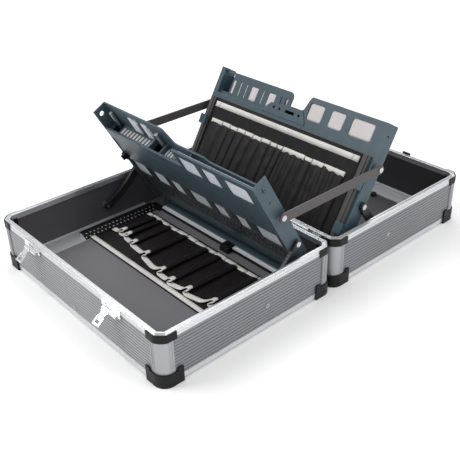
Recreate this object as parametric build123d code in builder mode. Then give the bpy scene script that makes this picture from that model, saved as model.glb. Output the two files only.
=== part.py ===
"""Technician's tool case: two aluminium-framed shells opened flat, with two tool pallets standing in a V.

X runs along the case hinge, Y across it from the latch side to the back, and Z is up from the floor.
The front shell lies at Y < 0, the rear shell at Y > 0, and the hinge axis is on X at the rims.
"""
from build123d import *
import os
from math import atan2, cos, degrees, hypot, pi, radians, sin, sqrt

os.makedirs("parts", exist_ok=True)

# ---------------------------------------------------------------- driving dimensions (mm)
case_length = 480.0
shell_depth = 366.5
hinge_gap = 3.5
hinge_height = 98.0
front, rear = -1, 1

frame_thickness = 6.0
base_bottom, base_top = 4.0, 12.5
wall_top = 87.5
post_top = 83.0
rim_top = 97.6
rim_width = 9.0
rim_chamfer = 13.0
corner_radius = 18.0
post_leg = 24.5
rib_pitch, rib_groove, rib_depth = 5.9, 2.4, 1.0

floor_low, floor_top = 5.5, 10.3
liner_thickness = 1.0
strip_width, strip_thickness = 43.7, 1.2

pallet_half_width = 217.0
pallet_length = 256.0
skin = 3.0
front_lean, front_thickness = 29.0, 30.0
rear_lean, rear_thickness = 31.0, 32.0
front_pallet_foot = (-40.8, 26.0)
rear_pallet_foot = (25.2, 41.6)
pallet_bracket_x = 190.0
pallet_pin_radius = 2.5
running_clearance = 0.1

arm_layer = (217.8, 223.8)
bar_layer = (224.8, 227.8)
front_arm_wall, front_arm_top = (-156.0, 46.0), (-69.8, 117.4)
rear_arm_wall, rear_arm_top = (153.0, 50.0), (97.2, 121.9)
bar_front_end, bar_rear_end = (-108.2, 184.0), (129.3, 185.0)
arm_width, bar_width = 15.0, 17.0
rivet_radius = 3.0

latch_places = (-125.0, 119.0)
lever_shift = -7.0
latch_pivot = (-375.4, 83.0)
latch_angle = 52.0
handle_half_span = 62.0
handle_pivot = (391.54, 66.0)

shell_centre = hinge_gap + shell_depth / 2
shell_outer = hinge_gap + shell_depth


# ---------------------------------------------------------------- helpers
def save(piece, name):
    """Label a finished piece and write it as its own STEP file."""
    piece.label = name
    export_step(piece, f"parts/{name}.step")


def block(x, y, z, plane=Plane.XY, mode=Mode.ADD):
    """A box between the two values of each of x, y and z, in the plane's own axes."""
    middle = [(span[0] + span[1]) / 2 for span in (x, y, z)]
    with Locations(plane.location * Location(middle)):
        Box(x[1] - x[0], y[1] - y[0], z[1] - z[0], mode=mode)


def rod(centre, radius, x, mode=Mode.ADD):
    """A cylinder along X between the two values of x, centred on a (Y, Z) point."""
    with Locations(Location(((x[0] + x[1]) / 2, centre[0], centre[1]), (0, 90, 0))):
        Cylinder(radius, x[1] - x[0], mode=mode)


def window(x, y, z, plane, radius, mode=Mode.SUBTRACT):
    """A cut with rounded corners between the two values of each of x, y and z of a plane."""
    with BuildSketch(plane.offset(z[0])) as shape:
        with Locations(((x[0] + x[1]) / 2, (y[0] + y[1]) / 2)):
            RectangleRounded(x[1] - x[0], y[1] - y[0], radius)
    extrude(shape.sketch, amount=z[1] - z[0], mode=mode)


def both_sides(span):
    """The same span of X on the right and, mirrored, on the left."""
    return (span, (-span[1], -span[0]))


def outline(inset, rounded=True):
    """Plan of one shell about its own centre, moved in by inset: rounded or chamfered corners."""
    with BuildSketch() as plan:
        Rectangle(case_length - 2 * inset, shell_depth - 2 * inset)
        if rounded:
            fillet(plan.vertices(), corner_radius - inset)
        else:
            chamfer(plan.vertices(), rim_chamfer - inset * (2 - sqrt(2)))
    return plan.sketch


def corner_squares(leg):
    """Four squares that reach leg along both walls from every corner."""
    with BuildSketch() as squares:
        with GridLocations(case_length, shell_depth, 2, 2):
            Rectangle(2 * leg, 2 * leg)
    return squares.sketch


def band(side, z, outer, inner, rounded=True, leg=None):
    """A ring between two outlines, or only its corners when leg is given."""
    with BuildPart() as ring:
        with BuildSketch(Plane((0, side * shell_centre, z[0]))):
            add(outline(outer, rounded))
            if inner is not None:
                add(outline(inner, rounded), mode=Mode.SUBTRACT)
            if leg is not None:
                add(corner_squares(leg), mode=Mode.INTERSECT)
        extrude(amount=z[1] - z[0])
    return ring.part


def stacked(bands):
    """Join bands that stand on each other into one piece."""
    with BuildPart() as stack:
        for piece in bands:
            add(piece)
    return stack.part


# ---------------------------------------------------------------- shells
def ribbed_wall(length, plane, rivets=()):
    """A wall panel with fine grooves along its outer face; plane Z points out of the case."""
    grooves = int((wall_top - base_top) / rib_pitch)
    with BuildPart() as panel:
        block((-length / 2, length / 2), (base_top, wall_top), (-frame_thickness, -1.0), plane)
        for row in range(grooves):
            low = base_top + rib_pitch * (row + 0.45)
            block((-length / 2, length / 2), (low, low + rib_groove), (-1.0 - rib_depth, -1.0), plane,
                  Mode.SUBTRACT)
        for along, height in rivets:
            with Locations(plane.location * Location((along, height, -frame_thickness / 2))):
                Cylinder(rivet_radius, 2 * frame_thickness, mode=Mode.SUBTRACT)
    return panel.part


def long_walls(side):
    """The wall opposite the hinge and the hinge wall."""
    length = case_length - 2 * post_leg
    outer = Plane((0, side * shell_outer, 0), x_dir=(-side, 0, 0), z_dir=(0, side, 0))
    hinge = Plane((0, side * hinge_gap, 0), x_dir=(side, 0, 0), z_dir=(0, -side, 0))
    with BuildPart() as walls:
        add(ribbed_wall(length, outer))
        add(ribbed_wall(length, hinge))
    return walls.part


def side_walls(side, arm_wall):
    """The left and right walls, each drilled for the rivet that carries an arm."""
    length = shell_depth - 2 * post_leg
    with BuildPart() as walls:
        for hand in (-1, 1):
            plane = Plane((hand * case_length / 2, side * shell_centre, 0), x_dir=(0, hand, 0), z_dir=(hand, 0, 0))
            along = hand * (arm_wall[0] - side * shell_centre)
            add(ribbed_wall(length, plane, [(along, arm_wall[1])]))
    return walls.part


def base_frame(side):
    """Aluminium edge strip round the bottom, with a flange under the floor panel."""
    return stacked([
        band(side, (base_bottom, base_top), 0, frame_thickness),
        band(side, (base_bottom, floor_low), frame_thickness, 16),
    ])


def rim_frame(side):
    """Aluminium rim: the front one carries a tongue, and the rear one the channel that takes it."""
    steps = [((wall_top, 91.5), 0.0), ((91.5, 92.7), 0.9), ((92.7, 94.6), 0.2)]
    rings = [band(side, z, inset, rim_width, False) for z, inset in steps]
    if side == front:
        rings.append(band(side, (94.6, rim_top), 0.6, rim_width, False))
        rings.append(band(side, (rim_top, rim_top + 2), 3.5, 6.0, False))
    else:
        rings.append(band(side, (94.6, rim_top), 0.6, 3.0, False))
        rings.append(band(side, (94.6, rim_top), 6.5, rim_width, False))
    return stacked(rings)


def corner_posts(side):
    """Four quarter-round columns with two ridges near each edge, chamfered under the upper caps."""
    with BuildPart() as posts:
        add(band(side, (base_top, post_top), -0.5, frame_thickness, leg=post_leg))
        add(band(side, (post_top, wall_top), 0, 4, False, leg=post_leg))
        for near, far in ((16.5, 18.0), (21.0, 23.0)):
            with BuildSketch(Plane((0, side * shell_centre, 30.5))):
                add(outline(-1.2))
                add(outline(-0.5), mode=Mode.SUBTRACT)
                add(corner_squares(far), mode=Mode.INTERSECT)
                add(corner_squares(near), mode=Mode.SUBTRACT)
            extrude(amount=post_top - 30.5)
    return posts.part


def corner_caps(side):
    """Black corner caps: round the rim outside and inside, and the rounded feet with a raised ear at each end."""
    with BuildPart() as caps:
        with BuildSketch(Plane((0, side * shell_centre, post_top + 0.5))) as cap:
            add(outline(-1.6, False))
            fillet(cap.vertices(), 10)
            add(outline(0, False), mode=Mode.SUBTRACT)
            add(corner_squares(31.5), mode=Mode.INTERSECT)
        extrude(amount=rim_top - 0.2 - post_top - 0.5)
        add(band(side, (72.0, 90.0), rim_width, rim_width + 2.2, False, leg=26))
        add(band(side, (0, 24), -2.8, -0.5, leg=38.5))
        for z, leg in (((24, 28.5), 38.5), ((28.5, 30), 37)):
            with BuildSketch(Plane((0, side * shell_centre, z[0]))):
                add(outline(-2.8 if leg > 38 else -2.2))
                add(outline(-0.5), mode=Mode.SUBTRACT)
                add(corner_squares(leg), mode=Mode.INTERSECT)
                add(corner_squares(67 - leg), mode=Mode.SUBTRACT)
            extrude(amount=z[1] - z[0])
        add(band(side, (0, base_bottom), -0.5, None, leg=38.5))
    return caps.part


def liner(side, arm_wall):
    """Thin dark lining board over the inside of the walls."""
    edge = frame_thickness + liner_thickness
    with BuildPart() as skin_part:
        add(band(side, (floor_top, wall_top), frame_thickness, edge))
        rod(arm_wall, rivet_radius, (-case_length, case_length), Mode.SUBTRACT)
    return skin_part.part


def floor_strips(side):
    """Flat aluminium strip on the floor along three walls, turned up against the lining."""
    edge = frame_thickness + liner_thickness
    half = case_length / 2 - edge - strip_width
    far = shell_outer - edge - strip_width
    top = floor_top + strip_thickness
    with BuildPart() as strips:
        add(band(side, (floor_top, top), edge, None))
        add(band(side, (top, floor_top + 3), edge, edge + strip_thickness))
        block((-half, half), sorted((0, side * far)), (0, wall_top), mode=Mode.SUBTRACT)
        block((-case_length, case_length), sorted((0, side * 60)), (0, wall_top), mode=Mode.SUBTRACT)
        for start in (far, far + 16, far + 30):
            block((-half, half), sorted((side * start, side * (start + 2))), (top, top + 0.8))
    return strips.part


def pallet_brackets(pivot):
    """Two upright lugs on the shell floor, each with the pin that a pallet turns on."""
    with BuildPart() as brackets:
        for span in both_sides((pallet_bracket_x, pallet_bracket_x + 3)):
            block(span, (pivot[0] - 5, pivot[0] + 5), (floor_top, pivot[1]))
            rod(pivot, 5.0, span)
        for span in both_sides((pallet_bracket_x - 3.5, pallet_bracket_x + 6.5)):
            rod(pivot, pallet_pin_radius, span)
        for span in both_sides((pallet_bracket_x - 8, pallet_bracket_x + 9)):
            block(span, (pivot[0] - 9, pivot[0] + 4.5), (floor_top, floor_top + 1.5))
    return brackets.part


def shell_pivots(side, arm_wall, pivot):
    """Hollow rivets and spacers that carry the arms on both side walls, and the lugs for the pallet."""
    wall_inside = case_length / 2 - frame_thickness - liner_thickness
    with BuildPart() as rivets:
        for hand in (0, 1):
            rod(arm_wall, rivet_radius, both_sides((arm_layer[0], case_length / 2 - 1.0))[hand])
            rod(arm_wall, 3.8, both_sides((case_length / 2 - 1.0, case_length / 2 + 0.2))[hand])
            rod(arm_wall, 1.8, both_sides((case_length / 2 - 4.0, case_length / 2 + 1.2))[hand], Mode.SUBTRACT)
            rod(arm_wall, 6.0, both_sides((arm_layer[1] + 0.4, wall_inside))[hand])
        with Locations(Location((-4, side * (shell_outer - 0.5), 20), (90, 0, 0))):
            Cylinder(3.4, 1.0)
            Cylinder(1.6, 2.0, mode=Mode.SUBTRACT)
        add(pallet_brackets(pivot))
    return rivets.part


# ---------------------------------------------------------------- case hinge
hinge_places = (-150.0, 0.0, 150.0)
knuckle_length, knuckle_space, knuckle_radius = 12.0, 0.4, 3.0
hinge_pin_radius = 1.3
hinge_half = 2.5 * knuckle_length + 2 * knuckle_space


def hinge_leaves(side):
    """Three hinge leaves with their knuckles: three knuckles each in front, two each behind."""
    turns = (0, 2, 4) if side == front else (1, 3)
    centre = (0.0, hinge_height)
    leaf_y = sorted((side * hinge_gap, side * (hinge_gap - 1.2)))
    with BuildPart() as leaves:
        for place in hinge_places:
            block((place - hinge_half, place + hinge_half), leaf_y, (84.0, 94.5))
            for turn in turns:
                start = place - hinge_half + turn * (knuckle_length + knuckle_space)
                span = (start, start + knuckle_length)
                rod(centre, knuckle_radius, span)
                block(span, sorted((side * hinge_gap, side * 1.9)), (94.5, hinge_height))
        for place in hinge_places:
            for turn in range(5):
                if turn not in turns:
                    start = place - hinge_half + turn * (knuckle_length + knuckle_space)
                    room = (start - knuckle_space, start + knuckle_length + knuckle_space)
                    rod(centre, knuckle_radius + 0.4, room, Mode.SUBTRACT)
            rod(centre, hinge_pin_radius + running_clearance / 2, (place - hinge_half, place + hinge_half),
                Mode.SUBTRACT)
    return leaves.part


def hinge_pins():
    """One steel pin through the knuckles of each hinge, with a small head at both ends."""
    with BuildPart() as pins:
        for place in hinge_places:
            rod((0.0, hinge_height), hinge_pin_radius, (place - hinge_half, place + hinge_half))
            for end in (place - hinge_half - 0.8, place + hinge_half):
                rod((0.0, hinge_height), 2.2, (end, end + 0.8))
    return pins.part


# ---------------------------------------------------------------- latches and handle
lever_length, lever_width, lever_thickness = 29.0, 18.0, 1.4
lever_pin_radius = 1.5
latch_plate = 1.6


def latch_bases():
    """Two chromed plates on the front rim, each with a rolled barrel along half of its lower edge."""
    face = -shell_outer
    with BuildPart() as bases:
        for x in latch_places:
            barrel = (x + 4, x + 22)
            block((x - 25, x + 25), (face - latch_plate, face), (82.5, 93.8))
            block((x - 17, x + 25), (face - latch_plate, face), (79.0, 82.5))
            block(barrel, (latch_pivot[0], face - latch_plate), (84.6, 86.2))
            rod(latch_pivot, 3.2, barrel)
            rod(latch_pivot, lever_pin_radius, barrel, Mode.SUBTRACT)
            for hole in (x - 12, x + 12):
                with Locations(Location((hole, face, 90.0), (90, 0, 0))):
                    Cylinder(1.9, 8, mode=Mode.SUBTRACT)
    return bases.part


def latch_lever(x):
    """A chromed hasp that stands open: a knuckle on its pin, a flat blade, and a window near its end."""
    hang = Plane((x + lever_shift, *latch_pivot), x_dir=(1, 0, 0),
                 z_dir=(0, -cos(radians(latch_angle)), sin(radians(latch_angle))))
    half = lever_width / 2
    with BuildPart() as lever:
        with BuildSketch(hang.offset(-lever_thickness / 2)):
            with Locations((0, -lever_length / 2)):
                RectangleRounded(lever_width, lever_length, 2.5)
            with Locations((0, -lever_length + 9)):
                Rectangle(9, 10, mode=Mode.SUBTRACT)
            with Locations((-half, -9), (half, -9)):
                Rectangle(5, 8, mode=Mode.SUBTRACT)
        extrude(amount=lever_thickness)
        rod(latch_pivot, 3.0, (x + lever_shift - half, x + lever_shift + half))
        rod(latch_pivot, lever_pin_radius - running_clearance, (x, x + 22))
        block((-half + 2, half - 2), (-lever_length + 0.4, -lever_length + 2.4), (0, 2.6), hang)
        block((-3, 3), (-lever_length + 9, -lever_length + 13), (-0.4, 0.4), hang)
    return lever.part


def latch_catches():
    """Two black catches on the rear rim, each with the hook that a lever's window drops over."""
    face = shell_outer
    with BuildPart() as catches:
        for place in latch_places:
            x = place + lever_shift
            block((x - 9, x + 9), (face, face + 2.6), (80.0, 101.2))
            block((x - 3.5, x + 3.5), (face + 2.6, face + 8.4), (89.5, 92.5))
            block((x - 3.5, x + 3.5), (face + 6.8, face + 8.4), (87.5, 89.5))
    return catches.part


handle_leg = 34.0
grip_radius = 8.0


def handle_brackets():
    """Two black brackets on the rear wall, forked round the ends of the handle."""
    face = shell_outer
    with BuildPart() as brackets:
        for x in (-handle_half_span, handle_half_span):
            block((x - 13, x + 13), (face - 1, face + 3), (50.0, 76.0))
            for cheek in ((x - 9, x - 5), (x + 5, x + 9)):
                block(cheek, (face + 3, handle_pivot[0]), (59.0, 73.0))
                rod(handle_pivot, 7.0, cheek)
            rod(handle_pivot, 2.0, (x - 9, x + 9), Mode.SUBTRACT)
    return brackets.part


def handle_grip():
    """A carrying handle that hangs flat: two arms on pins and a round grip between them."""
    y, z = handle_pivot
    with BuildPart() as grip:
        for x in (-handle_half_span, handle_half_span):
            block((x - 4.5, x + 4.5), (y - 4, y + 4), (z - handle_leg, z))
            rod(handle_pivot, 4.6, (x - 4.5, x + 4.5))
            rod(handle_pivot, 2.0 - running_clearance, (x - 9, x + 9))
        rod((y, z - handle_leg), grip_radius, (-handle_half_span - 4.5, handle_half_span + 4.5))
    return grip.part


# ---------------------------------------------------------------- front shell: tool board and floor hardware
board_half, board_front, board_back = 189.0, -222.0, -74.0
board_top = floor_top + 4.0
sleeve_half, sleeve_back, sleeve_top = 183.0, -89.0, 24.0


def tool_board():
    """Stiff board covered in black leatherette, lying on the floor of the front shell."""
    with BuildPart() as board:
        block((-board_half, board_half), (board_front, board_back), (floor_top, board_top))
    return board.part


def tool_board_sleeves():
    """The row of stitched sleeves on the tool board, as one closed pad that slopes down to the back."""
    with BuildPart() as sleeves:
        with BuildSketch(Plane.YZ.offset(-sleeve_half)):
            with BuildLine():
                Polyline((-212, board_top), (sleeve_back, board_top), (sleeve_back, board_top + 2),
                         (-150, sleeve_top), (-212, sleeve_top), close=True)
            make_face()
        extrude(amount=2 * sleeve_half)
        with BuildSketch(Plane.XY.offset(board_top)) as plan:
            with BuildLine():
                Polyline((-sleeve_half, -174), (-22, -207), (sleeve_half, -210), (sleeve_half, sleeve_back),
                         (-sleeve_half, sleeve_back), close=True)
            make_face()
        extrude(plan.sketch, amount=sleeve_top, mode=Mode.INTERSECT)
    return sleeves.part


def tool_board_trims():
    """Ivory strips along the front edge of the board and behind the sleeves."""
    with BuildPart() as trims:
        block((-board_half, board_half), (board_front, board_front + 10), (board_top, board_top + 1))
        block((-board_half + 4, board_half - 4), (sleeve_back, sleeve_back + 10), (board_top, board_top + 1.6))
    return trims.part


rail_inner, rail_low, rail_front, rail_back = 189.5, floor_top + 1.2, -232.0, -58.0
rail_profile = ((0, 0), (0, 1.5), (6, 5.5), (14, 8.5), (23, 8.5), (23, 0))
core_profile = ((1.3, 0), (1.3, 0.8), (6.4, 4.1), (14.2, 7.2), (21.7, 7.2), (21.7, 0))


def rail_prism(profile, hand, mode=Mode.ADD):
    """A length of one rail with the given section, on the right (1) or the left (-1)."""
    with BuildSketch(Plane((0, rail_front, 0), x_dir=(1, 0, 0), z_dir=(0, -1, 0))) as section:
        with BuildLine():
            Polyline(*[(hand * (rail_inner + u), rail_low + v) for u, v in profile], close=True)
        make_face()
    extrude(section.sketch, amount=rail_front - rail_back, mode=mode)


def perforated_rails():
    """Black perforated covers at both ends of the tool board, one with a short bracket behind it."""
    with BuildPart() as rails:
        for hand in (-1, 1):
            rail_prism(rail_profile, hand)
            rail_prism(core_profile, hand, Mode.SUBTRACT)
            for across, shift in ((4.0, 0), (11.0, 4.5)):
                places = [(hand * (rail_inner + across), rail_front + 4 + shift + 9 * i, rail_low + 8)
                          for i in range(19)]
                with Locations(*places):
                    Cylinder(1.7, 20, mode=Mode.SUBTRACT)
        block((-212.4, -184), (rail_back, -45.5), (floor_top, 16))
        with Locations((-205, -52, 17), (-191, -52, 17)):
            Cylinder(2.6, 2)
    return rails.part


def rail_cores():
    """Solid aluminium rails under the perforated covers."""
    with BuildPart() as cores:
        for hand in (-1, 1):
            rail_prism(core_profile, hand)
    return cores.part


def floor_bar():
    """Aluminium cap of the bar across the floor in front of the pallet, with a groove along it."""
    with BuildPart() as bar:
        block((-178, 178), (-54, -46.2), (18, 20.7))
        block((-178, 178), (-51, -49.6), (20, 20.7), mode=Mode.SUBTRACT)
    return bar.part


def floor_bar_base():
    """Dark base of the floor bar, with the black clip that hooks over its middle."""
    with BuildPart() as base:
        block((-178, 178), (-53, -46.2), (floor_top, 18))
        block((17, 39), (-66, -54), (floor_top, 20))
        block((17, 39), (-62, -46.2), (20.7, 23.5))
        block((17, 39), (-62, -54), (20, 20.7))
        with Locations((28, -58, 24.2)):
            Cylinder(3.0, 1.4)
    return base.part


def pallet_foot_rail():
    """Moulded rail on the floor that the front pallet stands over."""
    with BuildPart() as rail:
        block((-178, 178), (-46.2, -37.5), (floor_top, 23))
        block((-178, 178), (-37.5, -20), (floor_top, floor_top + 3))
    return rail.part


def floor_bumpers():
    """Two rubber buffers screwed to the rear floor."""
    with BuildPart() as bumpers:
        for x in (-82, 82):
            with BuildSketch(Plane((x, 311, floor_top))):
                Circle(6.5)
            extrude(amount=7, taper=8)
            with BuildSketch(Plane((x, 311, floor_top + 7))):
                Circle(2)
            extrude(amount=-3, mode=Mode.SUBTRACT)
    return bumpers.part


# ---------------------------------------------------------------- pallets
# Each pallet plane has its origin in the middle of the pallet's lower front edge, X along the case,
# Y up the pallet and Z out of its front face, so the pallet fills Z from minus its thickness to 0.
front_plane = Plane((0, *front_pallet_foot), x_dir=(1, 0, 0),
                    z_dir=(0, -cos(radians(front_lean)), -sin(radians(front_lean))))
rear_plane = Plane((0, *rear_pallet_foot), x_dir=(1, 0, 0),
                   z_dir=(0, -cos(radians(rear_lean)), sin(radians(rear_lean))))


def on_plane(plane, up, out):
    """The (Y, Z) place of a point given up a pallet and out of its face."""
    place = plane.from_local_coords((0, up, out))
    return (place.Y, place.Z)


front_pivot = on_plane(front_plane, 14.0, -front_thickness / 2)
rear_pivot = on_plane(rear_plane, -6.0, -rear_thickness / 2)
well_lip, well_shelf = 214.0, 206.0
step_up = 190.0
top_of_notch = pallet_length - 30
strip_top = 128.0
strip_depth = 6.0
well_floor_holes = ((-207, -185), (-80, -50))

upper_windows = ((28, 72), (88, 122), (144, 196))
lower_windows = ((-213, -168), (-147, -107), (-90, -59), (-34, 16), (34, 67), (92, 121), (144, 197))
upper_window_y = (206.0, 245.0)
lower_window_y = (82.0, 120.0)
back_windows = ((-146, -122), (-106, -88))
well_slots = ([(-181 + 9.5 * i, -175 + 9.5 * i) for i in range(10)]
              + [(-45 + 7.6 * i, -40.4 + 7.6 * i) for i in range(4)])
pallet_rod_places = (-198.0, -57.0)
pallet_rod_radius = 3.6


def front_pallet_tray():
    """Blue-grey moulded pan of the front pallet: back, ends, a slotted shelf and a well at the upper left."""
    w, top, t = pallet_half_width, pallet_length, front_thickness
    p = front_plane
    with BuildPart() as tray:
        with BuildSketch(p.offset(-t)) as back:
            with BuildLine():
                Polyline((-w, 0), (w, 0), (w, 217), (66, 217), (56, 224), (-22, 224), (-38, top), (-w, top),
                         close=True)
            make_face()
            fillet(back.vertices().filter_by_position(Axis.X, -39, -21), 7)
        extrude(amount=skin)
        for span in both_sides((w - skin, w)):
            block(span, (0, top), (-t, 0), p)
        block((-w, w), (0, skin), (-t, -strip_depth - skin), p)
        block((-w, w), (strip_top, strip_top + skin), (-t, -strip_depth - skin), p)
        block((-w, w), (well_shelf - skin, well_shelf), (-t, -skin - 1), p)
        block((19, 22), (well_shelf, 218), (-t, -skin - 1), p)
        for x in (-83.5, -50):
            block((x, x + skin), (well_shelf, well_lip), (-t, -skin - 1), p)
        for span in back_windows:
            window(span, (211, 241), (-t - 1, -t + skin + 1), p, 3)
        for x in (-30, -18, -2, 10):
            with Locations(p.location * Location((x, 216, -t))):
                Cylinder(2.2, 3 * skin, mode=Mode.SUBTRACT)
        for span in well_floor_holes:
            block(span, (well_shelf - skin - 1, well_shelf + 1), (-t + skin, -skin - 1), p, Mode.SUBTRACT)
        for span in well_slots:
            block(span, (well_shelf - skin - 1, well_shelf + 1), (-t + 8, -8), p, Mode.SUBTRACT)
        for span in both_sides((pallet_bracket_x - 4, pallet_bracket_x + 7)):
            block((span[0] - 2, span[1] + 2), (skin, 26), (-t + skin, -strip_depth - skin), p)
        for span in both_sides((pallet_bracket_x - 1.2, pallet_bracket_x + 4.2)):
            block(span, (-1, 27), (-t - 1, 1), p, Mode.SUBTRACT)
        for span in both_sides((pallet_bracket_x - 4, pallet_bracket_x + 7)):
            rod(front_pivot, pallet_pin_radius + running_clearance, span, Mode.SUBTRACT)
        with Locations(p.location * Location((-w, top - 14, -12), (0, 90, 0))):
            Cylinder(5, 4 * skin, mode=Mode.SUBTRACT)
        with Locations(p.location * Location((w, top - 48, -14), (0, 90, 0))):
            Cylinder(2.2, 4 * skin, mode=Mode.SUBTRACT)
        block((w - 4, w + 1), (top - 26, top - 12), (-15.2, -12.8), p, Mode.SUBTRACT)
        block((w - 4, w + 1), (top - 20.2, top - 17.8), (-19, -9), p, Mode.SUBTRACT)
    return tray.part


def front_pallet_face():
    """Blue-grey cover on the front of the pan: a sunk strip, a step, a lip and a part with windows."""
    w = pallet_half_width - skin
    top = pallet_length
    p = front_plane
    with BuildPart() as face:
        block((-w, w), (0, strip_top), (-strip_depth - skin, -strip_depth), p)
        block((-w, w), (strip_top, strip_top + skin), (-strip_depth - skin, -1.5), p)
        block((-w, w), (strip_top, step_up), (-skin - 1.5, -1.5), p)
        block((-w, w), (step_up, well_lip), (-skin - 1, 0), p)
        block((19, w), (well_lip, top), (-skin - 1, 0), p)
        for span in upper_windows:
            window(span, upper_window_y, (-skin - 2, 1), p, 4)
        for span in lower_windows:
            window(span, lower_window_y, (-strip_depth - skin - 1, 1), p, 3)
        for span in both_sides((pallet_bracket_x - 1.2, pallet_bracket_x + 4.2)):
            block(span, (-1, 27), (-front_thickness, 1), p, Mode.SUBTRACT)
    return face.part


def front_pallet_felts():
    """Grey felt that fills the windows and the slots of the front pallet."""
    p = front_plane
    w, t = pallet_half_width, front_thickness
    with BuildPart() as felts:
        block((26, w - skin - 1), (well_shelf + 1, 250), (-skin - 4, -skin - 1.2), p)
        for span in upper_windows:
            window((span[0] + 0.2, span[1] - 0.2), (upper_window_y[0] + 1.2, upper_window_y[1] - 0.2),
                   (-skin - 1.2, -0.8), p, 3.8, Mode.ADD)
        block((-w + skin + 1, w - skin - 1), (76, 125), (-strip_depth - skin - 3, -strip_depth - skin - 0.2), p)
        for span in lower_windows:
            window((span[0] + 0.2, span[1] - 0.2), (lower_window_y[0] + 0.2, lower_window_y[1] - 0.2),
                   (-strip_depth - skin - 0.2, -strip_depth - 0.4), p, 2.8, Mode.ADD)
        for span in back_windows:
            block((span[0] - 4, span[1] + 3), (well_shelf + 1, 245), (-t + skin + 0.3, -t + skin + 2.3), p)
        for span in ((-183, -86), (-47, -15)):
            block(span, (well_shelf - 8, well_shelf - skin - 0.4), (-t + skin + 1, -skin - 5.5), p)
        for span in well_slots:
            block((span[0] + 0.1, span[1] - 0.1), (well_shelf - skin - 0.4, well_shelf - 0.3), (-t + 8.2, -8.2), p)
    return felts.part


def front_pallet_rods():
    """Two plated rods clipped in front of the back panel, with their ends in the wells."""
    p = front_plane
    with BuildPart() as rods:
        for x in pallet_rod_places:
            with Locations(p.location * Location((x, 218, -front_thickness + skin + 5.5), (90, 0, 0))):
                Cylinder(pallet_rod_radius, 46)
    return rods.part


def front_pallet_mesh():
    """Black perforated strip round the lower windows of the front pallet."""
    p = front_plane
    w = pallet_half_width - skin - 1
    surface = -strip_depth
    with BuildPart() as mesh:
        block((-w, w), (40, 126), (surface, surface + 1.2), p)
        for span in lower_windows:
            window(span, lower_window_y, (surface - 1, surface + 2), p, 3)
        for row in range(3):
            start = -w + 8 + 4.5 * (row % 2)
            places = [(start + 9 * i, 48 + 10 * row, surface) for i in range(46)]
            with Locations(*[p.location * Location(place) for place in places]):
                Cylinder(2.2, 6, mode=Mode.SUBTRACT)
    return mesh.part


def front_pallet_knobs():
    """Black clips that stand out of the left and right edges of the front pallet's front face."""
    p = front_plane
    w = pallet_half_width
    with BuildPart() as knobs:
        block((-w + skin + 0.2, -w + 13), (131, 146), (-1.4, 5), p)
        block((-w + 5, -w + 10), (133, 144), (5, 10), p)
    return knobs.part


rear_windows = ((41, 77), (94, 127), (144, 194))
rear_window_y = (213, 245.5)
rear_small_windows = ((-123.5, -104), (-73.5, -54.5))
rear_slits = ((-177.5, -171), (-156, -153.4), (-138.4, -135.8), (-90, -87.4), (-40.6, -38), (-28, -21))
rear_slit_y = (209, 237.5)
sunk_depth, sunk_left, sunk_right = 8.0, -206.0, -12.0
rear_back_top = 244.0


def rear_outline():
    """Outline of the rear pallet's body, lower behind the sunk panel and at the hand notch."""
    w, top = pallet_half_width, pallet_length
    with BuildSketch() as shape:
        with BuildLine():
            Polyline((-w, 0), (w, 0), (w, top), (38, top), (29, top - 30), (-45, top - 30),
                     (-45, rear_back_top), (sunk_left, rear_back_top), (sunk_left, top), (-w, top), close=True)
        make_face()
        fillet(shape.vertices().filter_by_position(Axis.X, 28, 39), 6)
    return shape.sketch


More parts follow.
